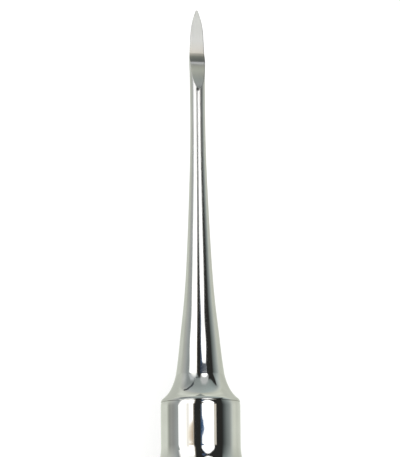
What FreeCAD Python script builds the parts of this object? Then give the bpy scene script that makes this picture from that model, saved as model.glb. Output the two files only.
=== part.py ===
"""Straight dental elevator: spear blade on a conical shank, in a hollow eight-sided steel grip.

Frame, in millimetres: the tool lies on a table. Y runs along the tool with the tip at +Y, Z is up,
and the ground face of the blade looks up. The origin is on the table under the middle of the tool.
Stations are distances along the tool from the shoulder, where the forging meets the neck collar:
positive towards the tip, negative towards the butt. Heights on the blade are measured from the axis.
"""
import FreeCAD, Part
import math
import os

# Whole tool
TOTAL_LENGTH = 150.0
TIP_STATION = 54.7                       # shoulder to tip
ACROSS_FLATS = 16.0                      # of the eight-sided grip
AXIS_HEIGHT = ACROSS_FLATS / 2           # the tool lies on one flat
SHOULDER_Y = TOTAL_LENGTH / 2 - TIP_STATION
BUTT_STATION = TIP_STATION - TOTAL_LENGTH

# Blade outline: half width at each station, tip first
TIP_RADIUS = 0.2
BLADE_OUTLINE = [(TIP_STATION - TIP_RADIUS, TIP_RADIUS), (53.5, 0.54), (51.8, 0.87), (49.8, 1.0),
                 (47.7, 1.1), (46.0, 1.07), (43.5, 1.04)]

# Blade face: the ground surface, from the tip back to where it runs out on top of the shank
FACE_BACK = (48.8, -0.14)                # (station, height above the axis), where its flat part ends
STEP_FILLET = 1.5
STEP_ANGLE = 24.0
STEP_RISE = 0.33
LAND_LENGTH = 0.35
SCOOP_RADIUS = 27.5                      # grinding wheel that cut the scoop
SCOOP_ANGLES = (8.0, 15.5)               # slope of the scoop at the land and at its run-out

# Shank: radius at each station, from the blade to the start of the flare
SHANK_OUTLINE = [(39.4, 1.04), (34.9, 1.1), (28.3, 1.33), (20.2, 1.71), (13.1, 2.25), (9.3, 2.69),
                 (6.1, 3.04)]
FLARE_START = (3.8, 3.36)
FLARE_ANGLES = (13.0, 26.0, 52.0, 10.0)  # slope at the ends of its two hollow arcs and its rounded rim
FLARE_RADII = (8.6, 4.2)
FLARE_RIM_ROUND = 0.73

# Tang
TANG_ROOT_RADIUS = 3.5                   # through the collar
TANG_RADIUS = 3.0
TANG_LENGTH = 36.0
TANG_CHAMFER = 0.8

# Neck collar
NECK_RADIUS = 5.5
COLLAR_LENGTH = 9.6
ROLL_RADIUS = 3.5                        # its front end rolls off gently
ROLL_ANGLE = 11.0                        # slope where that reaches the front face
CAVETTO_START = -6.0                     # behind its straight part the collar widens towards the grip
CAVETTO_RADIUS = 8.0
CAVETTO_ANGLE = 20.0                     # slope at its rear end
FIT_GAP = 0.02                           # between parts pressed or slid together, per side

# Grip shell
SHELL_FRONT_RADIUS = 6.3
SHELL_FRONT_ROUND = 0.15
RIDGE_RADIUS = 8.5                       # rounds off the eight corners
SHELL_REAR_STATION = -89.6
SHELL_REAR_RADIUS = 7.6
SHELL_OUTLINE = [(-12.0, 7.02), (-15.5, 7.8), (-20.0, 8.33), (-26.0, RIDGE_RADIUS)]
SHELL_TAIL = [(-74.0, RIDGE_RADIUS), (-83.0, 8.2), (SHELL_REAR_STATION, SHELL_REAR_RADIUS)]
MOUTH_RADIUS = 4.6                       # bore at the front, where the bush's spigot sits
MOUTH_END = -13.5
CAVITY_START = -20.0
CAVITY_RADIUS = 7.1
FLAT_COUNT = 8

# Bush, guide and pin
BUSH_REAR_STATION = -26.0
GUIDE_STATIONS = (-33.0, -35.0)
PIN_STATION = -23.0
PIN_RADIUS = 1.0
PIN_END_CLEARANCE = 0.4

# Butt
PLUG_LENGTH = 6.0
PLUG_STUD_RADIUS = 3.0
PLUG_STUD_LENGTH = 2.6
PLUG_CHAMFER = 0.5
CAP_RIM_ROUND = 0.3
CAP_SKIRT = 1.0                          # straight part of the cap before its dome
DOME_SHOULDER = (0.62, 0.84)             # shares of the dome's depth and of the cap's radius
DOME_CROWN = (0.95, 0.42)

# Cutting solids reach past the part
CUT_REACH = 20.0
GRIND_CLEARANCE = 1.0
GRIND_TOP = 3.0
GRIND_HALF_WIDTH = 2.0


def at(station, height):
    """Point in the tool's vertical middle plane."""
    return FreeCAD.Vector(0, SHOULDER_Y + station, AXIS_HEIGHT + height)


def line(start, end):
    return Part.LineSegment(at(*start), at(*end)).toShape()


def arc(start, start_angle, end_angle, radius):
    """Arc that runs back along the tool and rises, and the point where it ends.

    The angles are its slopes in degrees. It is hollow, seen from above, when the slope grows.
    """
    def along(angle):
        slope = math.radians(angle)
        first = math.radians(start_angle)
        return (start[0] - radius * (math.sin(slope) - math.sin(first)),
                start[1] + radius * (math.cos(first) - math.cos(slope)))

    end = along(end_angle)
    middle = along((start_angle + end_angle) / 2)
    return Part.Arc(at(*start), at(*middle), at(*end)).toShape(), end


def quarter_round(start, end, corner):
    """Rounded edge between two points, tangent to the two straight sides that meet in the corner."""
    centre = (start[0] + end[0] - corner[0], start[1] + end[1] - corner[1])
    middle = tuple(c + (k - c) * math.sqrt(0.5) for c, k in zip(centre, corner))
    return Part.Arc(at(*start), at(*middle), at(*end)).toShape()


def spline(points):
    curve = Part.BSplineCurve()
    curve.interpolate([at(*point) for point in points])
    return curve.toShape()


def revolve(edges):
    """Solid turned about the tool's axis from a closed outline above the axis."""
    face = Part.Face(Part.Wire(edges))
    solid = face.revolve(at(0, 0), FreeCAD.Vector(0, 1, 0), 360)
    return solid if solid.Volume > 0 else solid.reversed()


def cylinder(radius, front, rear):
    return Part.makeCylinder(radius, front - rear, at(rear, 0), FreeCAD.Vector(0, 1, 0))


def cross_cylinder(radius, station, half_length):
    """Cylinder across the tool, square to its axis and level."""
    start = at(station, 0) - FreeCAD.Vector(half_length, 0, 0)
    return Part.makeCylinder(radius, 2 * half_length, start, FreeCAD.Vector(1, 0, 0))


def chamfered_cylinder(radius, front, rear, chamfer):
    """Cylinder with its rear edge chamfered."""
    corner = (rear + chamfer, radius)
    outline = [(front, 0), (front, radius), corner, (rear, radius - chamfer), (rear, 0), (front, 0)]
    return revolve([line(a, b) for a, b in zip(outline, outline[1:])])


def forging():
    """Blade blank, shank and flare, all round, before the blade's face is ground."""
    tip = (TIP_STATION, 0)
    tip_edge = quarter_round(tip, BLADE_OUTLINE[0], (TIP_STATION, TIP_RADIUS))
    body = spline(BLADE_OUTLINE + SHANK_OUTLINE + [FLARE_START])
    flare_1, flare_middle = arc(FLARE_START, FLARE_ANGLES[0], FLARE_ANGLES[1], FLARE_RADII[0])
    flare_2, rim_start = arc(flare_middle, FLARE_ANGLES[1], FLARE_ANGLES[2], FLARE_RADII[1])
    rim_round, rim_end = arc(rim_start, FLARE_ANGLES[2], FLARE_ANGLES[3], -FLARE_RIM_ROUND)
    shoulder = (0, rim_end[1])
    edges = [tip_edge, body, flare_1, flare_2, rim_round, line(rim_end, shoulder),
             line(shoulder, (0, 0)), line((0, 0), tip)]
    return revolve(edges)


def above_the_face():
    """Everything that grinding takes off the top of the blade, wide enough to cut right across it."""
    fall = math.atan2(-FACE_BACK[1], TIP_STATION - FACE_BACK[0])
    past_tip = (TIP_STATION + GRIND_CLEARANCE, GRIND_CLEARANCE * math.tan(fall))
    fillet, step_foot = arc(FACE_BACK, -math.degrees(fall), STEP_ANGLE, STEP_FILLET)
    step_top = (step_foot[0] - STEP_RISE / math.tan(math.radians(STEP_ANGLE)), step_foot[1] + STEP_RISE)
    land_end = (step_top[0] - LAND_LENGTH, step_top[1])
    scoop, run_out = arc(land_end, SCOOP_ANGLES[0], SCOOP_ANGLES[1], SCOOP_RADIUS)
    rise = GRIND_CLEARANCE * math.tan(math.radians(SCOOP_ANGLES[1]))
    clear = (run_out[0] - GRIND_CLEARANCE, run_out[1] + rise)
    top_rear, top_front = (clear[0], GRIND_TOP), (past_tip[0], GRIND_TOP)
    edges = [line(past_tip, FACE_BACK), fillet, line(step_foot, step_top), line(step_top, land_end), scoop,
             line(run_out, clear), line(clear, top_rear), line(top_rear, top_front),
             line(top_front, past_tip)]
    face = Part.Face(Part.Wire(edges))
    face.translate(FreeCAD.Vector(-GRIND_HALF_WIDTH, 0, 0))
    return face.extrude(FreeCAD.Vector(2 * GRIND_HALF_WIDTH, 0, 0))


def blade_shank():
    blank = forging().cut(above_the_face())
    root = cylinder(TANG_ROOT_RADIUS, 0, -COLLAR_LENGTH)
    tang = chamfered_cylinder(TANG_RADIUS, -COLLAR_LENGTH, -TANG_LENGTH, TANG_CHAMFER)
    whole = blank.fuse(root).fuse(tang).removeSplitter()
    return whole.cut(cross_cylinder(PIN_RADIUS, PIN_STATION, CUT_REACH))


def neck_collar():
    bore = TANG_ROOT_RADIUS + FIT_GAP
    rear = -COLLAR_LENGTH
    end_radius = NECK_RADIUS - ROLL_RADIUS * (1 - math.cos(math.radians(ROLL_ANGLE)))
    front_roll, land_front = arc((0, end_radius), ROLL_ANGLE, 0, -ROLL_RADIUS)
    land_rear = (CAVETTO_START, NECK_RADIUS)
    cavetto, cavetto_end = arc(land_rear, 0, CAVETTO_ANGLE, CAVETTO_RADIUS)
    rise = (cavetto_end[0] - rear) * math.tan(math.radians(CAVETTO_ANGLE))
    rear_edge = (rear, cavetto_end[1] + rise)
    return revolve([line((0, bore), (0, end_radius)), front_roll, line(land_front, land_rear), cavetto,
                    line(cavetto_end, rear_edge), line(rear_edge, (rear, bore)),
                    line((rear, bore), (0, bore))])


def flats_prism():
    """Eight-sided bar with one flat straight down."""
    corner_radius = ACROSS_FLATS / 2 / math.cos(math.pi / FLAT_COUNT)
    points = []
    for i in range(FLAT_COUNT + 1):
        angle = 2 * math.pi * (i + 0.5) / FLAT_COUNT
        rear = at(BUTT_STATION - 1, corner_radius * math.sin(angle))
        points.append(rear + FreeCAD.Vector(corner_radius * math.cos(angle), 0, 0))
    return Part.Face(Part.makePolygon(points)).extrude(FreeCAD.Vector(0, -BUTT_STATION, 0))


def grip_shell():
    front = -COLLAR_LENGTH
    front_face = (front, SHELL_FRONT_RADIUS - SHELL_FRONT_ROUND)
    front_round = (front - SHELL_FRONT_ROUND, SHELL_FRONT_RADIUS)
    barrel_start, barrel_end = SHELL_OUTLINE[-1], SHELL_TAIL[0]
    rear = SHELL_TAIL[-1]
    axis_rear, axis_front = (rear[0], 0), (front, 0)
    bar = revolve([line(axis_front, front_face),
                   quarter_round(front_face, front_round, (front, SHELL_FRONT_RADIUS)),
                   spline([front_round] + SHELL_OUTLINE), line(barrel_start, barrel_end), spline(SHELL_TAIL),
                   line(rear, axis_rear), line(axis_rear, axis_front)])
    mouth = cylinder(MOUTH_RADIUS, front, MOUTH_END)
    throat = Part.makeCone(CAVITY_RADIUS, MOUTH_RADIUS, MOUTH_END - CAVITY_START, at(CAVITY_START, 0),
                           FreeCAD.Vector(0, 1, 0))
    cavity = cylinder(CAVITY_RADIUS, CAVITY_START, rear[0])
    return bar.common(flats_prism()).cut(mouth).cut(throat).cut(cavity).removeSplitter()


def tang_bush():
    """Stepped bush that follows the inside of the shell: spigot, cone and body, bored for the tang."""
    spigot, body = MOUTH_RADIUS - FIT_GAP, CAVITY_RADIUS - FIT_GAP
    bore = TANG_RADIUS + FIT_GAP
    rear = BUSH_REAR_STATION
    outline = [(-COLLAR_LENGTH, bore), (-COLLAR_LENGTH, spigot), (MOUTH_END, spigot), (CAVITY_START, body),
               (rear + PLUG_CHAMFER, body), (rear, body - PLUG_CHAMFER), (rear, bore), (-COLLAR_LENGTH, bore)]
    bush = revolve([line(a, b) for a, b in zip(outline, outline[1:])])
    return bush.cut(cross_cylinder(PIN_RADIUS, PIN_STATION, CUT_REACH))


def tang_pin():
    return cross_cylinder(PIN_RADIUS - FIT_GAP, PIN_STATION, CAVITY_RADIUS - PIN_END_CLEARANCE)


def tang_guide():
    front, rear = GUIDE_STATIONS
    disc = cylinder(CAVITY_RADIUS - FIT_GAP, front, rear)
    return disc.cut(cylinder(TANG_RADIUS + FIT_GAP, front, rear))


def end_plug():
    front = SHELL_REAR_STATION + PLUG_LENGTH
    body = chamfered_cylinder(CAVITY_RADIUS - FIT_GAP, front, SHELL_REAR_STATION, PLUG_CHAMFER)
    stud_rear = SHELL_REAR_STATION - PLUG_STUD_LENGTH
    stud = chamfered_cylinder(PLUG_STUD_RADIUS, SHELL_REAR_STATION, stud_rear, PLUG_CHAMFER)
    return body.fuse(stud).removeSplitter()


def end_cap():
    front = SHELL_REAR_STATION
    rim = (front, SHELL_REAR_RADIUS - CAP_RIM_ROUND)
    rim_round = (front - CAP_RIM_ROUND, SHELL_REAR_RADIUS)
    skirt_end = (front - CAP_SKIRT, SHELL_REAR_RADIUS)
    butt = (BUTT_STATION, 0)
    dome_depth = skirt_end[0] - BUTT_STATION
    shoulder, crown = [at(skirt_end[0] - depth * dome_depth, radius * SHELL_REAR_RADIUS)
                       for depth, radius in (DOME_SHOULDER, DOME_CROWN)]
    dome = Part.BSplineCurve()
    dome.interpolate([at(*skirt_end), shoulder, crown, at(*butt)],
                     InitialTangent=FreeCAD.Vector(0, -1, 0), FinalTangent=FreeCAD.Vector(0, 0, -1))
    cap = revolve([line((front, 0), rim), quarter_round(rim, rim_round, (front, SHELL_REAR_RADIUS)),
                   line(rim_round, skirt_end), dome.toShape(), line(butt, (front, 0))])
    socket_end = front - PLUG_STUD_LENGTH - PLUG_CHAMFER
    return cap.cut(cylinder(PLUG_STUD_RADIUS + FIT_GAP, front, socket_end))


NODES = {"blade_shank": blade_shank, "neck_collar": neck_collar, "grip_shell": grip_shell,
         "tang_bush": tang_bush, "tang_pin": tang_pin, "tang_guide": tang_guide,
         "end_plug": end_plug, "end_cap": end_cap}

os.makedirs("parts", exist_ok=True)
for name, make in NODES.items():
    shape = make()
    solid = shape.Solids[0]
    assert len(shape.Solids) == 1 and solid.isValid(), name
    solid.exportStep(os.path.join("parts", name + ".step"))
    box = solid.BoundBox
    print(f"{name}: {solid.Volume:.1f} mm3, {box.YLength:.2f} mm along the tool, {box.ZLength:.2f} mm high")
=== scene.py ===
import math

import bmesh
import bpy
import numpy as np
from mathutils import Matrix, Vector


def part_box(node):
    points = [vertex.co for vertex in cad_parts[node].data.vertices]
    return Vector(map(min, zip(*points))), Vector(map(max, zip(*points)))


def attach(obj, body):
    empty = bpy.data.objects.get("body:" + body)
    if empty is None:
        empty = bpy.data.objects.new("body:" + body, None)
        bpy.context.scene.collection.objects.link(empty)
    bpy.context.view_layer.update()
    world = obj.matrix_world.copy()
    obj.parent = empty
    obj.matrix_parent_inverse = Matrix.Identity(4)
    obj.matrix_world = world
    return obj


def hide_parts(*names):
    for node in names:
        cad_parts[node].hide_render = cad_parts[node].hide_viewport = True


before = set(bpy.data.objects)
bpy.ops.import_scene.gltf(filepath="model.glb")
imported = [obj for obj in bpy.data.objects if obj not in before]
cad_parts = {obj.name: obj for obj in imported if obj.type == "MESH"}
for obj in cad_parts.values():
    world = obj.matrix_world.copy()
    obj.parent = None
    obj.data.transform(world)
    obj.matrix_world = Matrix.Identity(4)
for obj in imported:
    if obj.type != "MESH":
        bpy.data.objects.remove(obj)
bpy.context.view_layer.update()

# Stations and radii are in millimetres. A station is a distance along the tool from the shoulder,
# where the forging meets the neck collar: positive towards the tip, negative towards the butt.
MM = 0.001
SHOULDER_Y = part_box("neck_collar")[1].y
AXIS_Z = (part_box("neck_collar")[0].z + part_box("neck_collar")[1].z) / 2


def station_of(node, corner):
    """Station of a CAD node's rear (corner 0) or front (corner 1)."""
    return (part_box(node)[corner].y - SHOULDER_Y) / MM


# Blade and shank outline, as in the CAD model
TIP_STATION = station_of("blade_shank", 1)
TIP_RADIUS = 0.2
BLADE_OUTLINE = [(TIP_STATION - TIP_RADIUS, TIP_RADIUS), (53.5, 0.54), (51.8, 0.87), (49.8, 1.0),
                 (47.7, 1.1), (46.0, 1.07), (43.5, 1.04)]
SHANK_OUTLINE = [(39.4, 1.04), (34.9, 1.1), (28.3, 1.33), (20.2, 1.71), (13.1, 2.25), (9.3, 2.69),
                 (6.1, 3.04)]
FLARE_START = (3.8, 3.36)
FLARE_ANGLES = (13.0, 26.0, 52.0, 10.0)
FLARE_RADII = (8.6, 4.2)
FLARE_RIM_ROUND = 0.73

# Blade face: height above the axis at each station
FACE_BACK = (48.8, -0.14)
STEP_FILLET = 1.5
STEP_ANGLE = 24.0
STEP_RISE = 0.33
LAND_LENGTH = 0.35
SCOOP_RADIUS = 27.5
SCOOP_ANGLES = (8.0, 15.5)

# Tang, inside the handle
TANG_ROOT_RADIUS = 3.5
TANG_RADIUS = 3.0
TANG_CHAMFER = 0.8
TANG_REAR = station_of("blade_shank", 0)

# Collar
NECK_RADIUS = 5.5
COLLAR_REAR = station_of("neck_collar", 0)
ROLL_RADIUS = 3.5
ROLL_ANGLE = 11.0
CAVETTO_START = -6.0
CAVETTO_RADIUS = 8.0
CAVETTO_ANGLE = 20.0
FIT_GAP = 0.02

# Grip
APOTHEM = (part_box("grip_shell")[1].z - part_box("grip_shell")[0].z) / MM / 2
SHELL_FRONT_RADIUS = 6.3
SHELL_FRONT_ROUND = 0.15
RIDGE_RADIUS = 8.5
SHELL_REAR = station_of("grip_shell", 0)
SHELL_REAR_RADIUS = 7.6
SHELL_OUTLINE = [(-12.0, 7.02), (-15.5, 7.8), (-20.0, 8.33), (-26.0, RIDGE_RADIUS)]
SHELL_TAIL = [(-74.0, RIDGE_RADIUS), (-83.0, 8.2), (SHELL_REAR, SHELL_REAR_RADIUS)]
MOUTH_RADIUS = 4.6
MOUTH_END = -13.5
CAVITY_START = -20.0
CAVITY_RADIUS = 7.1
FLAT_COUNT = 8
CREASE_SOFTNESS = 0.05                   # how far the creases round the flats are rounded off

# Butt
BUTT_STATION = station_of("end_cap", 0)
CAP_RIM_ROUND = 0.3
CAP_SKIRT = 1.0
DOME_POWERS = (1.25, 0.8)                # how full the dome is along the tool and across it
STUD_RADIUS = 3.0
SOCKET_DEPTH = 3.1

# How fine the meshes are
FORGING_SEGMENTS = 128
FACE_COLUMNS = 24
FACE_SAMPLES = 600
APPROACH_ROWS = 6                        # extra rows just ahead of the point where the face runs out
APPROACH_FIRST = 0.02                    # how far the first of them is from it
APPROACH_GROWTH = 1.6                    # and how much farther each next one is
FORGING_SPACING = 0.12
SHELL_SPACING = 0.3
RING_SEGMENTS = 256
CAP_SEGMENTS = 192
FLAT_COLUMNS = 14
RIDGE_COLUMNS = 12
RIDGE_LEAD = 0.06                        # how far before a ridge the finer columns start, in sectors


# ---------------------------------------------------------------- outlines

def spline(points, spacing):
    """Points on a natural cubic curve through the given ones."""
    knots = np.array(points, float)
    t = np.concatenate([[0], np.cumsum(np.hypot(*np.diff(knots, axis=0).T))])
    h = np.diff(t)
    size = len(t)
    system = np.eye(size)
    right = np.zeros((size, 2))
    for i in range(1, size - 1):
        system[i, i - 1:i + 2] = h[i - 1], 2 * (h[i - 1] + h[i]), h[i]
        right[i] = 6 * ((knots[i + 1] - knots[i]) / h[i] - (knots[i] - knots[i - 1]) / h[i - 1])
    bend = np.linalg.solve(system, right)
    out = []
    for u in np.linspace(0, t[-1], max(2, math.ceil(t[-1] / spacing) + 1)):
        i = min(int(np.searchsorted(t, u, side="right")) - 1, size - 2)
        a, b = t[i + 1] - u, u - t[i]
        point = (bend[i] * a ** 3 + bend[i + 1] * b ** 3) / (6 * h[i])
        point = point + (knots[i] / h[i] - bend[i] * h[i] / 6) * a
        point = point + (knots[i + 1] / h[i] - bend[i + 1] * h[i] / 6) * b
        out.append(tuple(point))
    return out


def arc(start, first, last, radius, steps):
    """Arc from a point, running back along the tool, between two slopes in degrees."""
    sin_first, cos_first = math.sin(math.radians(first)), math.cos(math.radians(first))
    return [(start[0] - radius * (math.sin(a) - sin_first), start[1] + radius * (cos_first - math.cos(a)))
            for a in np.radians(np.linspace(first, last, steps + 1))]


def straight(start, end, steps=1):
    start, end = np.array(start, float), np.array(end, float)
    return [tuple(start + (end - start) * i / steps) for i in range(steps + 1)]


def quarter(centre, radius, first, last, steps=8):
    """Arc about a centre between two directions, in degrees from the tip's direction."""
    return [(centre[0] + radius * math.cos(a), centre[1] + radius * math.sin(a))
            for a in np.radians(np.linspace(first, last, steps + 1))]


def join(*stretches):
    """One list of points from stretches that meet end to end."""
    out = list(stretches[0])
    for stretch in stretches[1:]:
        out += stretch[1:]
    return out


# ---------------------------------------------------------------- meshes

def place(x, station, height):
    return Vector((x * MM, SHOULDER_Y + station * MM, AXIS_Z + height * MM))


def round_row(station, radius, angles):
    """Points round the axis: angle 0 is straight up, and 90 degrees is towards +X."""
    return [place(radius * math.sin(a), station, radius * math.cos(a)) for a in angles]


def full_turn(segments):
    return [2 * math.pi * i / segments for i in range(segments + 1)]


def add_patch(bm, rows, material=0, crisp_sides=False):
    """A smooth grid of faces. Its first and last rows are crisp edges, and its sides too if asked."""
    grid = [[bm.verts.new(p) for p in row] for row in rows]
    for first, second in zip(grid, grid[1:]):
        for i in range(len(first) - 1):
            face = bm.faces.new((first[i], first[i + 1], second[i + 1], second[i]))
            face.smooth = True
            face.material_index = material
    borders = [grid[0], grid[-1]]
    if crisp_sides:
        borders += [[row[0] for row in grid], [row[-1] for row in grid]]
    for border in borders:
        for a, b in zip(border, border[1:]):
            bm.edges.get((a, b)).smooth = False


def add_lathe(bm, runs, segments):
    """Turned surfaces: each run of points is smooth, and two runs meet in a crisp edge."""
    for run in runs:
        add_patch(bm, [round_row(s, r, full_turn(segments)) for s, r in run])


def make_piece(name, bm, node, materials):
    bmesh.ops.remove_doubles(bm, verts=bm.verts, dist=1e-7)
    bmesh.ops.dissolve_degenerate(bm, edges=bm.edges, dist=1e-8)
    bmesh.ops.recalc_face_normals(bm, faces=bm.faces)
    mesh = bpy.data.meshes.new(name)
    bm.to_mesh(mesh)
    bm.free()
    for material in materials:
        mesh.materials.append(material)
    piece = bpy.data.objects.new(name, mesh)
    bpy.context.scene.collection.objects.link(piece)
    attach(piece, "root")
    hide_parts(node)
    return piece


# ---------------------------------------------------------------- blade and shank

def face_profile():
    """The ground face, tip first: (station, height above the axis)."""
    fall = math.degrees(math.atan2(-FACE_BACK[1], TIP_STATION - FACE_BACK[0]))
    flat = straight((TIP_STATION, 0), FACE_BACK, 60)
    fillet = arc(FACE_BACK, -fall, STEP_ANGLE, STEP_FILLET, 12)
    step_foot = fillet[-1]
    step_top = (step_foot[0] - STEP_RISE / math.tan(math.radians(STEP_ANGLE)), step_foot[1] + STEP_RISE)
    land_end = (step_top[0] - LAND_LENGTH, step_top[1])
    scoop = arc(land_end, SCOOP_ANGLES[0], SCOOP_ANGLES[1], SCOOP_RADIUS, 60)
    past_it = (scoop[-1][0] - 1, scoop[-1][1] + math.tan(math.radians(SCOOP_ANGLES[1])))
    return join(flat, fillet, straight(step_foot, step_top, 8), straight(step_top, land_end, 4), scoop,
                straight(scoop[-1], past_it, 20))


def forging_outline():
    tip = quarter((TIP_STATION - TIP_RADIUS, 0), TIP_RADIUS, 0, 90)
    body = spline(BLADE_OUTLINE + SHANK_OUTLINE + [FLARE_START], FORGING_SPACING)
    flare_1 = arc(FLARE_START, FLARE_ANGLES[0], FLARE_ANGLES[1], FLARE_RADII[0], 30)
    flare_2 = arc(flare_1[-1], FLARE_ANGLES[1], FLARE_ANGLES[2], FLARE_RADII[1], 24)
    rim_round = arc(flare_2[-1], FLARE_ANGLES[2], FLARE_ANGLES[3], -FLARE_RIM_ROUND, 20)
    return join(tip, body, flare_1, flare_2, rim_round)


def run_out_station(radius_at, height_at, profile):
    """The station where the scooped face has risen to the top of the round shank."""
    span = np.linspace(profile[0, 0], profile[-1, 0], FACE_SAMPLES)
    over = [s for s in span if height_at(s) > radius_at(s)]
    low, high = over[-1], over[-1] + (span[1] - span[0])
    for _ in range(40):
        middle = (low + high) / 2
        if height_at(middle) > radius_at(middle):
            low = middle
        else:
            high = middle
    return high


def blade_shank(materials):
    bm = bmesh.new()
    outline = np.array(forging_outline())[::-1]
    profile = np.array(face_profile())[::-1]

    def radius_at(station):
        return np.interp(station, outline[:, 0], outline[:, 1])

    def height_at(station):
        return np.interp(station, profile[:, 0], profile[:, 1], left=9.0)

    run_out = run_out_station(radius_at, height_at, profile)
    stations = {s for s in [*profile[:, 0], *outline[:, 0]] if s > run_out}
    approach = {run_out + APPROACH_FIRST * APPROACH_GROWTH ** k for k in range(APPROACH_ROWS)}
    blade_stations = sorted(stations | approach | {run_out}, reverse=True)

    arc_rows, face_rows = [], []
    for s in blade_stations:
        r = max(radius_at(s), 0)
        h = min(height_at(s), r)
        half = math.acos(max(-1, min(1, h / r))) if r > 1e-6 else math.pi / 2
        if s == run_out:
            half, h = 0.0, r
        turn = 2 * math.pi - 2 * half
        angles = [half + turn * i / FORGING_SEGMENTS for i in range(FORGING_SEGMENTS + 1)]
        arc_rows.append(round_row(s, r, angles))
        width = r * math.sin(half)
        face_rows.append([place(width * (1 - 2 * i / FACE_COLUMNS), s, h) for i in range(FACE_COLUMNS + 1)])
    shank = [(s, r) for s, r in outline[::-1] if s < run_out]
    for s, r in shank:
        arc_rows.append(round_row(s, r, full_turn(FORGING_SEGMENTS)))
    add_patch(bm, arc_rows)
    add_patch(bm, face_rows, material=1, crisp_sides=True)
    rim_end = shank[-1]
    shoulder = (0, rim_end[1])
    add_lathe(bm, [straight(rim_end, shoulder),
                   straight(shoulder, (0, TANG_ROOT_RADIUS)),
                   straight((0, TANG_ROOT_RADIUS), (COLLAR_REAR, TANG_ROOT_RADIUS), 4),
                   straight((COLLAR_REAR, TANG_ROOT_RADIUS), (COLLAR_REAR, TANG_RADIUS)),
                   straight((COLLAR_REAR, TANG_RADIUS), (TANG_REAR + TANG_CHAMFER, TANG_RADIUS), 12),
                   straight((TANG_REAR + TANG_CHAMFER, TANG_RADIUS), (TANG_REAR, TANG_RADIUS - TANG_CHAMFER)),
                   straight((TANG_REAR, TANG_RADIUS - TANG_CHAMFER), (TANG_REAR, 0))], FORGING_SEGMENTS)
    return make_piece("forged_blade_and_shank", bm, "blade_shank", materials)


# ---------------------------------------------------------------- handle

def neck_collar(materials):
    bm = bmesh.new()
    bore = TANG_ROOT_RADIUS + FIT_GAP
    end_radius = NECK_RADIUS - ROLL_RADIUS * (1 - math.cos(math.radians(ROLL_ANGLE)))
    roll = arc((0, end_radius), ROLL_ANGLE, 0, -ROLL_RADIUS, 24)
    land = straight(roll[-1], (CAVETTO_START, NECK_RADIUS), 30)
    cavetto = arc(land[-1], 0, CAVETTO_ANGLE, CAVETTO_RADIUS, 40)
    rise = (cavetto[-1][0] - COLLAR_REAR) * math.tan(math.radians(CAVETTO_ANGLE))
    rear_edge = (COLLAR_REAR, cavetto[-1][1] + rise)
    add_lathe(bm, [straight((0, bore), (0, end_radius)),
                   join(roll, land, cavetto, straight(cavetto[-1], rear_edge, 6)),
                   straight(rear_edge, (COLLAR_REAR, bore)),
                   straight((COLLAR_REAR, bore), (0, bore), 4)], RING_SEGMENTS)
    return make_piece("neck_ring", bm, "neck_collar", materials)


def shell_outline():
    front_round = quarter((COLLAR_REAR - SHELL_FRONT_ROUND, SHELL_FRONT_RADIUS - SHELL_FRONT_ROUND),
                          SHELL_FRONT_ROUND, 0, 90, 10)
    front = spline([front_round[-1]] + SHELL_OUTLINE, SHELL_SPACING)
    barrel = straight(SHELL_OUTLINE[-1], SHELL_TAIL[0], 60)
    return join(front_round, front, barrel, spline(SHELL_TAIL, SHELL_SPACING))


def soft_minimum(a, b, softness):
    """The smaller of two numbers, rounded off where they are nearly equal."""
    blend = max(softness - abs(a - b), 0) / softness
    return min(a, b) - blend * blend * softness / 4


def shell_radius(outline_radius, angle):
    """Radius of the eight-sided grip: the turned outline, cut by flats."""
    sector = 2 * math.pi / FLAT_COUNT
    off_centre = (angle + sector / 2) % sector - sector / 2
    return soft_minimum(outline_radius, APOTHEM / math.cos(off_centre), CREASE_SOFTNESS)


def shell_angles():
    """Columns round the grip, closer together at the ridges."""
    sector = 2 * math.pi / FLAT_COUNT
    ridge = math.acos(APOTHEM / RIDGE_RADIUS) / sector
    inner = [ridge * (i / FLAT_COLUMNS) for i in range(FLAT_COLUMNS)]
    outer = [ridge - RIDGE_LEAD + (0.5 - ridge + RIDGE_LEAD) * i / RIDGE_COLUMNS
             for i in range(RIDGE_COLUMNS + 1)]
    half = sorted(set(inner + outer))
    fractions = [-f for f in reversed(half) if f > 0] + half
    angles = []
    for k in range(FLAT_COUNT):
        angles += [(k + f) * sector for f in fractions[:-1]]
    return angles + [angles[0] + 2 * math.pi]


def grip_shell(materials):
    bm = bmesh.new()
    angles = shell_angles()
    rows = [[place(shell_radius(r, a) * math.sin(a), s, shell_radius(r, a) * math.cos(a)) for a in angles]
            for s, r in shell_outline()]
    add_patch(bm, rows)
    add_patch(bm, [round_row(COLLAR_REAR, MOUTH_RADIUS, angles), rows[0]])
    add_patch(bm, [rows[-1], round_row(SHELL_REAR, CAVITY_RADIUS, angles)])
    inside = [straight((COLLAR_REAR, MOUTH_RADIUS), (MOUTH_END, MOUTH_RADIUS), 3),
              straight((MOUTH_END, MOUTH_RADIUS), (CAVITY_START, CAVITY_RADIUS), 4),
              straight((CAVITY_START, CAVITY_RADIUS), (SHELL_REAR, CAVITY_RADIUS), 20)]
    for run in inside:
        add_patch(bm, [round_row(s, r, angles) for s, r in run])
    return make_piece("hollow_grip", bm, "grip_shell", materials)


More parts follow.
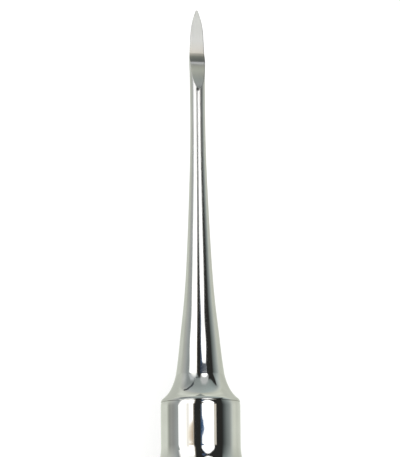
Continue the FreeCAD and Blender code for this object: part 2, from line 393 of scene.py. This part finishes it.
def end_cap(materials):
    bm = bmesh.new()
    rim = quarter((SHELL_REAR - CAP_RIM_ROUND, SHELL_REAR_RADIUS - CAP_RIM_ROUND), CAP_RIM_ROUND, 0, 90)
    skirt_end = (SHELL_REAR - CAP_SKIRT, SHELL_REAR_RADIUS)
    depth = skirt_end[0] - BUTT_STATION
    dome = [(skirt_end[0] - depth * math.sin(t) ** DOME_POWERS[0],
             SHELL_REAR_RADIUS * math.cos(t) ** DOME_POWERS[1]) for t in np.linspace(0, math.pi / 2, 60)]
    dome[-1] = (BUTT_STATION, 0)
    bore = STUD_RADIUS + FIT_GAP
    socket = SHELL_REAR - SOCKET_DEPTH
    add_lathe(bm, [join(rim, straight(rim[-1], skirt_end, 4), dome),
                   straight(rim[0], (SHELL_REAR, bore)), straight((SHELL_REAR, bore), (socket, bore), 3),
                   straight((socket, bore), (socket, 0))], CAP_SEGMENTS)
    return make_piece("domed_end_cap", bm, "end_cap", materials)


# ---------------------------------------------------------------- materials

class Nodes:
    """Small helper that adds shader nodes to a material."""

    def __init__(self, name):
        self.material = bpy.data.materials.new(name)
        self.material.use_nodes = True
        self.tree = self.material.node_tree
        self.shader = self.tree.nodes["Principled BSDF"]

    def add(self, kind, **settings):
        node = self.tree.nodes.new(kind)
        for key, value in settings.items():
            setattr(node, key, value)
        return node

    def link(self, source, target):
        self.tree.links.new(source, target)

    def object_space(self):
        return self.add("ShaderNodeTexCoord").outputs["Object"]

    def stretched_noise(self, scale, stretch, detail=4.0):
        """Noise in object space, drawn out along the axes whose stretch is small."""
        mapping = self.add("ShaderNodeMapping")
        mapping.inputs["Scale"].default_value = stretch
        self.link(self.object_space(), mapping.inputs["Vector"])
        noise = self.add("ShaderNodeTexNoise")
        noise.inputs["Scale"].default_value = scale
        noise.inputs["Detail"].default_value = detail
        self.link(mapping.outputs["Vector"], noise.inputs["Vector"])
        return noise.outputs["Fac"]

    def between(self, source, low, high, start=0.3, end=0.7, **settings):
        """Maps the range from start to end, by default a noise's usual one, onto two values."""
        node = self.add("ShaderNodeMapRange", **settings)
        node.inputs["From Min"].default_value = start
        node.inputs["From Max"].default_value = end
        node.inputs["To Min"].default_value = low
        node.inputs["To Max"].default_value = high
        self.link(source, node.inputs["Value"])
        return node.outputs["Result"]

    def along_tool(self, start, end, low=0.0, high=1.0):
        """A value that runs from low at one station to high at another."""
        split = self.add("ShaderNodeSeparateXYZ")
        self.link(self.object_space(), split.inputs["Vector"])
        return self.between(split.outputs["Y"], low, high, SHOULDER_Y + start * MM, SHOULDER_Y + end * MM)

    def two_colours(self, source, dark, light):
        ramp = self.add("ShaderNodeValToRGB")
        ramp.color_ramp.elements[0].position = 0.3
        ramp.color_ramp.elements[0].color = (*dark, 1)
        ramp.color_ramp.elements[1].position = 0.7
        ramp.color_ramp.elements[1].color = (*light, 1)
        self.link(source, ramp.inputs["Fac"])
        return ramp.outputs["Color"]

    def bump(self, source, distance):
        node = self.add("ShaderNodeBump")
        node.inputs["Strength"].default_value = 1.0
        node.inputs["Distance"].default_value = distance
        self.link(source, node.inputs["Height"])
        return node.outputs["Normal"]

    def add_up(self, first, second):
        node = self.add("ShaderNodeMath", operation="ADD")
        self.link(first, node.inputs[0])
        self.link(second, node.inputs[1])
        return node.outputs[0]

    def multiply_colour(self, factor):
        """Multiplies the shader's colour, as it is so far, by a colour or a value."""
        colour = self.shader.inputs["Base Color"]
        mix = self.add("ShaderNodeMix", data_type="RGBA", blend_type="MULTIPLY")
        mix.inputs["Factor"].default_value = 1.0
        self.link(colour.links[0].from_socket, mix.inputs["A"])
        self.link(factor, mix.inputs["B"])
        self.link(mix.outputs["Result"], colour)


def steel(name, dark, light, rough, stretch, fineness, relief):
    """Metal with fine lines along the axes whose stretch is small, and cloudy wear."""
    made = Nodes(name)
    cloud = made.stretched_noise(CLOUD_FINENESS, (1, 1, 1), 3.0)
    lines = made.stretched_noise(fineness, stretch, 5.0)
    shader = made.shader
    shader.inputs["Metallic"].default_value = 1.0
    shader.inputs["Specular Tint"].default_value = EDGE_TINT
    made.link(made.two_colours(cloud, dark, light), shader.inputs["Base Color"])
    halves = [made.between(pattern, rough[0] / 2, rough[1] / 2) for pattern in (lines, cloud)]
    made.link(made.add_up(*halves), shader.inputs["Roughness"])
    made.link(made.bump(lines, relief), shader.inputs["Normal"])
    return made


def shade_along(made, stops):
    """Multiplies a steel's colour by one that changes along the tool: (station, colour), tip first."""
    first, last = stops[-1][0], stops[0][0]
    ramp = made.add("ShaderNodeValToRGB")
    elements = ramp.color_ramp.elements
    while len(elements) < len(stops):
        elements.new(0.5)
    for element, (station, colour) in zip(elements, reversed(stops)):
        element.position = (station - first) / (last - first)
        element.color = (*colour, 1)
    made.link(made.along_tool(first, last), ramp.inputs["Fac"])
    made.multiply_colour(ramp.outputs["Color"])


def roughen_along(made, start, end, extra):
    """Adds to a steel's roughness: nothing at the first station, and all of it at the second."""
    roughness = made.shader.inputs["Roughness"]
    so_far = roughness.links[0].from_socket
    made.link(made.add_up(so_far, made.along_tool(start, end, 0.0, extra)), roughness)


def paint_shade_spot(made, station, x, radius, remaining):
    """Paints shade round one point on top of the shank, to the share of a steel's colour that remains."""
    away = made.add("ShaderNodeVectorMath", operation="DISTANCE")
    away.inputs[1].default_value = place(x, station, SPOT_HEIGHT)
    made.link(made.object_space(), away.inputs[0])
    made.multiply_colour(made.between(away.outputs["Value"], remaining, 1.0, radius * MM / 3, radius * MM,
                                      interpolation_type="SMOOTHSTEP"))


CLOUD_FINENESS = 260.0
EDGE_TINT = (0.85, 0.85, 0.85, 1)
ALONG_TOOL = (1.0, 0.04, 1.0)
ROUND_TOOL = (0.06, 1.0, 0.06)
GRINDING = (1.0, 0.05, 1.0)
POLISHED = ((0.53, 0.53, 0.515), (0.58, 0.58, 0.57))
TURNED = ((0.50, 0.50, 0.49), (0.58, 0.58, 0.57))
GROUND = ((0.84, 0.84, 0.84), (1.0, 1.0, 1.0))
# colour left as it is
UNSHADED = (1, 1, 1)
# painted shade in the seam between the flare's rim and the collar
SEAM_SHADE = (0.7, 0.7, 0.68)
# painted shade in the notch where the blade's face runs out into the shank
SPOT_HEIGHT = 1.03                       # above the axis: on the shank, where the blade's face runs out
NOTCH_SPOT = (43.5, -0.2, 0.37, 0.12)    # station, x, radius and the share of the colour that remains
SOFTER_POLISH = (6.0, 44.0, 0.27)        # from one station to another, and the roughness added there
# Painted light and shade across the blade's face:
BLADE_LIGHT_AND_SHADE = [                          # stations and colours fitted to the photo's bands
    (54.7, (0.39, 0.395, 0.375)), (53.6, (0.44, 0.445, 0.425)), (50.4, (0.455, 0.455, 0.44)),
    (49.3, (0.445, 0.43, 0.40)), (48.7, (0.42, 0.40, 0.355)), (48.3, (0.33, 0.32, 0.28)),
    (47.75, (0.225, 0.22, 0.205)), (47.52, (0.225, 0.22, 0.21)), (47.3, (0.28, 0.285, 0.285)),
    (47.0, (0.32, 0.325, 0.30)), (46.75, (0.355, 0.36, 0.315)), (46.2, (0.42, 0.43, 0.375)),
    (45.6, (0.36, 0.37, 0.33)), (44.9, (0.33, 0.35, 0.325)), (44.2, (0.35, 0.36, 0.35)),
    (43.3, (0.24, 0.25, 0.245)),
]

mirror_shank = steel("mirror_polished_shank", *POLISHED, rough=(0.045, 0.09), stretch=ALONG_TOOL,
                     fineness=2600.0, relief=2e-7)
# painted shade on the flare's rim, at its seam with the collar
shade_along(mirror_shank, [(1.0, UNSHADED), (0.09, UNSHADED), (0.07, SEAM_SHADE), (0.0, SEAM_SHADE)])
# painted shade where the blade's face runs out into the shank
paint_shade_spot(mirror_shank, *NOTCH_SPOT)
roughen_along(mirror_shank, *SOFTER_POLISH)
mirror_ring = steel("mirror_polished_ring", *POLISHED, rough=(0.035, 0.07), stretch=ROUND_TOOL,
                    fineness=2200.0, relief=1e-7)
# painted shade on the collar's front end, at its seam with the flare's rim
shade_along(mirror_ring, [(0.0, SEAM_SHADE), (-0.04, SEAM_SHADE), (-0.08, UNSHADED), (-1.0, UNSHADED)])
mirror_cap = steel("mirror_polished_cap", *POLISHED, rough=(0.035, 0.07), stretch=ROUND_TOOL,
                   fineness=2200.0, relief=1e-7)
mirror_grip = steel("mirror_polished_grip", *POLISHED, rough=(0.05, 0.11), stretch=ALONG_TOOL,
                    fineness=1800.0, relief=2e-7)
ground_face = steel("ground_blade_face", *GROUND, rough=(0.30, 0.42), stretch=GRINDING,
                    fineness=6500.0, relief=6e-6)
# painted light and shade: bands across the blade's face
shade_along(ground_face, BLADE_LIGHT_AND_SHADE)
turned_steel = steel("turned_steel", *TURNED, rough=(0.25, 0.4), stretch=ROUND_TOOL,
                     fineness=2000.0, relief=2e-6)

blade_shank([mirror_shank.material, ground_face.material])
neck_collar([mirror_ring.material])
grip_shell([mirror_grip.material])
end_cap([mirror_cap.material])

for node in ("tang_bush", "tang_guide", "tang_pin", "end_plug"):
    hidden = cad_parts[node]
    hidden.data.materials.clear()
    hidden.data.materials.append(turned_steel.material)


# ---------------------------------------------------------------- studio

# What the steel reflects is a sphere with light levels round the tool, which only reflections see. The
# levels, panels and strokes were fitted to the photo's brightness, for the main view only, and none of
# them is a known real thing. A direction has two angles in degrees: across, from the camera's side of the
# tool (0) to the picture's right (90) and on underneath (180), and forward, from square to the tool (0) to
# its tip (90).
SIDE_TILT = 15.0                         # how far the camera leans to the left of the blade's face
SPHERE_RADIUS = 0.7
SPHERE_STEP = 1.0
SOFTBOX = (2.6, 2.6, 2.6)
BLACK = (0.038, 0.039, 0.036)

WALL = {                                 # forward: [(across, level)]
    4: [(-180, 1.0), (-116, 1.1), (-110, 0.82), (-106, 0.58), (-101, 0.46), (-95, 0.52), (-86, 0.46),
        (-76, 0.53), (-68, 0.6), (66, 0.05), (70, 0.11), (75, 0.19), (80, 0.28), (90, 0.41), (95, 0.52),
        (100, 0.74), (106, 0.95), (116, 1.02), (129, 0.93), (145, 1.0), (180, 1.0)],
    18: [(-180, 0.83), (-105, 0.84), (-100, 0.79), (-90, 0.71), (-80, 0.63), (-75, 0.57), (-70, 0.5),
         (-65, 0.47), (-56, 0.5), (62, 0.06), (66, 0.1), (70, 0.19), (75, 0.29), (80, 0.37), (85, 0.46),
         (90, 0.55), (95, 0.65), (100, 0.74), (106, 0.81), (180, 0.83)],
    32: [(-180, 0.82), (-100, 0.8), (-86, 0.79), (-79, 0.74), (-74, 0.6), (-68, 0.47), (-56, 0.44),
         (50, 0.26), (56, 0.3), (64, 0.37), (74, 0.48), (80, 0.52), (87, 0.74), (106, 0.9), (180, 0.85)],
    45: [(-180, 0.8), (-120, 0.79), (-109, 0.9), (-99, 0.7), (-90, 0.64), (-79, 0.5), (-68, 0.43),
         (-50, 0.4), (-37, 0.42), (-20, 0.45), (0, 0.48), (12, 0.55), (40, 0.48), (56, 0.43), (68, 0.41),
         (79, 0.45), (89, 0.5), (99, 0.84), (108, 0.98), (115, 0.85), (180, 0.8)],
    56: [(-180, 0.9), (-145, 0.85), (-130, 1.07), (-107, 0.92), (-98, 0.75), (-88, 0.64), (-70, 0.58),
         (-45, 0.5), (0, 0.48), (30, 0.52), (62, 0.56), (82, 0.62), (91, 0.7), (100, 0.86), (110, 0.96),
         (130, 1.08), (145, 0.9), (180, 0.9)],
    70: [(-180, 1.3), (-150, 1.15), (-124, 0.9), (-90, 0.74), (-63, 0.64), (-35, 0.6), (0, 0.57),
         (35, 0.6), (63, 0.64), (90, 0.76), (124, 0.92), (150, 1.15), (180, 1.3)],
    90: [(-180, 0.69), (180, 0.69)],
}
TINTS = [(-180, (1.0, 1.04, 0.93)), (-105, (1.0, 1.04, 0.94)), (-90, (1.0, 1.02, 0.98)),
         (-70, (0.95, 1.03, 1.03)), (-45, (0.94, 1.04, 1.02)), (45, (0.93, 1.05, 1.03)),
         (62, (0.9, 1.05, 1.03)), (85, (0.93, 1.04, 1.02)), (100, (0.98, 1.04, 0.98)),
         (112, (1.0, 1.04, 0.92)), (180, (1.0, 1.04, 0.93))]

PANELS = [                               # name, colour, softness of the edge, outline
    ("dark_ceiling", BLACK, 3.0,
     [(-24, -90), (-24, 6), (-18, 14), (-16, 24), (-14, 34), (-9, 39), (0, 40.5), (10, 42), (30, 43),
      (50, 39.5), (60, 40.5), (68, 43), (80, 44.5), (86, 43), (77, 34), (66, 27), (65, 14), (65, 4),
      (65, -90)]),
    ("blue_gap", (0.09, 0.14, 0.24), 2.0, [(3, 18), (3, 26), (9, 28), (14, 26), (14, 22), (8, 18)]),
    ("left_spill", (0.78, 0.82, 0.84), 5.0, [(-60, 28), (-50, 41), (-36, 43), (-20, 38), (-18, 28)]),
    ("warm_edge", (0.5, 0.43, 0.32), 4.0, [(-26, -90), (-26, 30), (-15.5, 30), (-15.5, 18), (-16.5, 10),
                                           (-19.5, 6), (-19.5, -90)]),
    ("left_softbox_end", (1.72, 1.74, 1.7), 6.0,
     [(-51, 20), (-47, 28), (-41, 33), (-30, 36), (-22, 35), (-18.5, 30), (-18.5, 20)]),
    ("left_softbox", SOFTBOX, 4.0,
     [(-66.5, -90), (-66.5, 5), (-63, 12), (-57, 17), (-51, 22), (-48, 25.5), (-18.5, 25.5), (-18.5, 12),
      (-20, 9), (-22, 5), (-22, -90)]),
    ("softbox_streak", (1.5, 1.46, 1.38), 7.0, [(-43, -60), (-43, 8), (-37, 13), (-32, 8), (-32, -60)]),
    ("cool_edge", (0.22, 0.3, 0.42), 3.0, [(1, -50), (1, 8), (2, 14), (6, 19), (12, 20), (12, -50)]),
    ("right_softbox", SOFTBOX, 2.0,
     [(4.5, -50), (4.5, 5), (3, 9), (3, 12), (4.5, 14.5), (8.5, 18), (12, 20.5), (15, 22.3), (20, 23),
      (25, 22.3), (29, 20.5), (32.5, 18), (38, 14.5), (40, 10), (39, 4), (38, 0), (38, -50)]),
    ("beige_card", (1.05, 0.98, 0.86), 2.0, [(39, -50), (39, 6), (46, 6), (46, -50)]),
    ("front_spill", (0.8, 0.82, 0.82), 6.0, [(4, 34), (0, 44), (10, 52), (28, 52), (40, 44), (42, 34)]),
    ("front_light", SOFTBOX, 2.0,
     [(20, 28), (12, 30.5), (6, 33.5), (9, 37), (18, 38.5), (30, 37), (38, 33), (34, 29.5)]),
]
STROKES = [                              # thin dark lines: half width and path
    (0.9, [(-6, 39.5), (-14, 39.5), (-23, 38.5)]),
    (0.7, [(-31, 40), (-32, 46), (-36, 48.5)]),
    (2.8, [(-37, 49), (-42, 51.3), (-54, 54.5), (-79, 59), (-97, 56)]),
]
STROKE_COLOUR = (0.10, 0.11, 0.12)


def distance_to_path(across, forward, path):
    """Distance in degrees from each direction to a line of straight stretches."""
    nearest = np.full(across.shape, 1e9)
    for (x0, y0), (x1, y1) in zip(path, path[1:]):
        length_2 = (x1 - x0) ** 2 + (y1 - y0) ** 2
        along = np.clip(((across - x0) * (x1 - x0) + (forward - y0) * (y1 - y0)) / length_2, 0, 1)
        gap = np.hypot(across - x0 - along * (x1 - x0), forward - y0 - along * (y1 - y0))
        nearest = np.minimum(nearest, gap)
    return nearest


def depth_inside(across, forward, outline):
    """Distance to a closed outline: positive inside, negative outside."""
    closed = outline + outline[:1]
    inside = np.zeros(across.shape, bool)
    for (x0, y0), (x1, y1) in zip(closed, closed[1:]):
        if y0 != y1:
            crosses = (forward > min(y0, y1)) & (forward <= max(y0, y1))
            inside ^= crosses & (across < x0 + (forward - y0) * (x1 - x0) / (y1 - y0))
    return np.where(inside, 1, -1) * distance_to_path(across, forward, closed)


def wall_light(across, forward):
    """Light of the wall, between the levels given for the nearest angles forward or back."""
    keys = list(WALL)
    levels = np.array([np.interp(across, *zip(*WALL[key])) for key in keys])
    place_in_keys = np.interp(np.abs(forward), keys, range(len(keys)))
    low = np.minimum(place_in_keys.astype(int), len(keys) - 2)
    share = place_in_keys - low
    index = np.arange(len(across))
    level = levels[low, index] * (1 - share) + levels[low + 1, index] * share
    spots, tints = zip(*TINTS)
    tint = np.column_stack([np.interp(across, spots, channel) for channel in zip(*tints)])
    return level[:, None] * tint


def studio_light(across, forward):
    """Light of the wall, with the panels and strokes laid over it in turn."""
    colour = wall_light(across, forward)
    for _, light, softness, outline in PANELS:
        cover = np.clip(depth_inside(across, forward, outline) / softness + 0.5, 0, 1)[:, None]
        colour = colour * (1 - cover) + np.array(light) * cover
    for half_width, path in STROKES:
        cover = np.clip(half_width + 0.5 - distance_to_path(across, forward, path), 0, 1)[:, None]
        colour = colour * (1 - cover) + np.array(STROKE_COLOUR) * cover
    return colour


def glowing_sheet(name, points, colours, columns, rows):
    """Grid of points with its own light, seen in reflections only."""
    mesh = bpy.data.meshes.new(name)
    faces = []
    for i in range(columns):
        for j in range(rows):
            a = i * (rows + 1) + j
            faces.append((a, a + 1, a + rows + 2, a + rows + 1))
    mesh.from_pydata(points.tolist(), [], faces)
    glow = mesh.attributes.new("glow", "FLOAT_COLOR", "POINT")
    glow.data.foreach_set("color", np.hstack([colours, np.ones((len(colours), 1))]).ravel())
    material = bpy.data.materials.new(name)
    material.use_nodes = True
    tree = material.node_tree
    tree.nodes.clear()
    attribute = tree.nodes.new("ShaderNodeAttribute")
    attribute.attribute_name = "glow"
    shader = tree.nodes.new("ShaderNodeEmission")
    output = tree.nodes.new("ShaderNodeOutputMaterial")
    tree.links.new(attribute.outputs["Color"], shader.inputs["Color"])
    tree.links.new(shader.outputs["Emission"], output.inputs["Surface"])
    mesh.materials.append(material)
    sheet = bpy.data.objects.new(name, mesh)
    bpy.context.scene.collection.objects.link(sheet)
    sheet.visible_camera = False
    sheet.visible_diffuse = False
    sheet.visible_shadow = False
    sheet.visible_transmission = False


def make_reflected_studio():
    around = np.arange(-180, 180 + SPHERE_STEP, SPHERE_STEP)
    forward = np.arange(-90, 90 + SPHERE_STEP, SPHERE_STEP)
    turn, ahead = [grid.ravel() for grid in np.meshgrid(around, forward, indexing="ij")]
    t, a = np.radians(turn), np.radians(ahead)
    points = SPHERE_RADIUS * np.column_stack([np.cos(a) * np.sin(t), np.sin(a), np.cos(a) * np.cos(t)])
    points += np.array((0, SHOULDER_Y, AXIS_Z))
    across = (turn + SIDE_TILT + 180) % 360 - 180
    glowing_sheet("reflected_studio", points, studio_light(across, ahead), len(around) - 1, len(forward) - 1)


# Small glowing cards near the tool, which only reflections see, so they are painted reflections on the steel:
# name, distance from its axis, outline as (station, left edge, right edge) with the edges in degrees across,
# colour at the left and colour at the right. The first two are painted reflections of the coloured spots that
# the photo shows on the neck. The others only correct the sphere's reflections in the main view.
GLINTS = [
    ("blue_glint", 60,
     [(1.5, 0, 3), (1.2, 0, 7), (0.8, 0, 9), (0.5, 0, 7), (0.1, 0, 10), (-0.3, 0, 12), (-0.6, 0, 9),
      (-1.0, 0, 8), (-1.3, 0, 4), (-1.6, 0, 2)], (0.05, 0.09, 0.17), (0.12, 0.26, 0.5)),
    # painted reflection of a brown mark on the neck
    ("brown_reflection", 60,
     [(1.0, -24, -21), (0.6, -29, -20.5), (0.0, -34, -20.5), (-0.8, -37, -20.5), (-1.6, -37, -20.5),
      (-2.2, -31, -20.5), (-2.6, -24, -21)], (1.75, 1.65, 1.45), (0.75, 0.58, 0.4)),
    ("softbox_end_edge", 40,
     [(2, -65, -58), (5.5, -63.5, -54.5), (8.6, -62, -52), (14, -59, -49)], (0.5, 0.5, 0.5), SOFTBOX),
    ("softbox_end", 40,
     [(2, -58, -54), (5.5, -54.5, -48), (8.6, -52, -44), (14, -49, -40)], SOFTBOX, SOFTBOX),
    ("gap_end", 40, [(2, 0.5, 3), (4, 0.5, 4), (5.5, 0.5, 7), (8, 0.5, 11)], BLACK, BLACK),
    ("strip_break", 10, [(7.75, 8, 20), (7.5, 0, 27), (7.1, 0, 28), (6.4, 0, 28)],
     (0.03, 0.05, 0.09), (0.26, 0.28, 0.31)),
]


def make_glints():
    for name, distance, rows, left_colour, right_colour in GLINTS:
        points, colours = [], []
        for station, left, right in rows:
            for share in (0, 0.5, 1):
                a = math.radians(left + (right - left) * share - SIDE_TILT)
                points.append(place(distance * math.sin(a), station, distance * math.cos(a)))
                colours.append(np.array(left_colour) * (1 - share) + np.array(right_colour) * share)
        glowing_sheet(name, np.array(points), np.array(colours), len(rows) - 1, 2)


FLOOR_HALF = 6.0
FLOOR_COLOURS = ((0.44, 0.44, 0.435), (0.46, 0.46, 0.455))
FLOOR_GLOW = 0.68
LAMP_PLACE = (0.25, -0.1, 1.6)
LAMP_SIZE = 1.4


def make_floor():
    mesh = bpy.data.meshes.new("floor")
    h = FLOOR_HALF
    mesh.from_pydata([(-h, -h, 0), (h, -h, 0), (h, h, 0), (-h, h, 0)], [], [(0, 1, 2, 3)])
    floor = bpy.data.objects.new("floor", mesh)
    bpy.context.scene.collection.objects.link(floor)
    made = Nodes("pale_floor")
    paper = made.stretched_noise(30.0, (1, 1, 1))
    made.link(made.two_colours(paper, *FLOOR_COLOURS), made.shader.inputs["Base Color"])
    made.shader.inputs["Roughness"].default_value = 0.9
    made.shader.inputs["Specular IOR Level"].default_value = 0.0
    made.shader.inputs["Emission Color"].default_value = (1, 1, 1, 1)
    made.shader.inputs["Emission Strength"].default_value = FLOOR_GLOW
    mesh.materials.append(made.material)
    floor.visible_glossy = False


def make_world():
    world = bpy.data.worlds.new("studio")
    world.use_nodes = True
    background = world.node_tree.nodes["Background"]
    background.inputs["Color"].default_value = (1, 1, 1, 1)
    background.inputs["Strength"].default_value = 1.0
    bpy.context.scene.world = world


def make_overhead_light():
    light = bpy.data.lights.new("overhead_softbox", "AREA")
    light.shape = "DISK"
    light.size = LAMP_SIZE
    light.energy = 1.0
    lamp = bpy.data.objects.new("overhead_softbox", light)
    lamp.location = LAMP_PLACE
    lamp.rotation_euler = lamp.location.to_track_quat("Z", "Y").to_euler()
    lamp.visible_glossy = False
    bpy.context.scene.collection.objects.link(lamp)


# The camera, placed so that the outline falls on the photo's
CAMERA_DISTANCE = 0.600                  # from the tool's axis, square to it, in metres
CAMERA_STATION = -45.1
VIEW_STATION = 24.12                     # what the middle of the picture shows
VIEW_OFFSET = 0.17                       # and how far it is to the right of the tool's axis
VIEW_ROLL = 0.56                         # degrees
LENS = 343.4
SENSOR_WIDTH = 36.0


def make_camera():
    lean = math.radians(SIDE_TILT)
    toward_camera = Vector((-math.sin(lean), 0, math.cos(lean)))
    right = Vector((math.cos(lean), 0, math.sin(lean)))
    target = Vector((0, SHOULDER_Y + VIEW_STATION * MM, AXIS_Z)) + right * VIEW_OFFSET * MM
    data = bpy.data.cameras.new("camera")
    data.sensor_width = SENSOR_WIDTH
    data.lens = LENS
    camera = bpy.data.objects.new("camera", data)
    bpy.context.scene.collection.objects.link(camera)
    foot = Vector((target.x, SHOULDER_Y + CAMERA_STATION * MM, target.z))
    camera.location = foot + toward_camera * CAMERA_DISTANCE
    back = (camera.location - target).normalized()
    up = (Vector((0, 1, 0)) - back * back.y).normalized()
    axes = Matrix((up.cross(back), up, back)).transposed()
    camera.rotation_euler = (axes @ Matrix.Rotation(-math.radians(VIEW_ROLL), 3, "Z")).to_euler()
    bpy.context.scene.camera = camera


make_reflected_studio()
make_glints()
make_floor()
make_world()
make_overhead_light()
make_camera()
bpy.context.scene.view_settings.view_transform = "Standard"
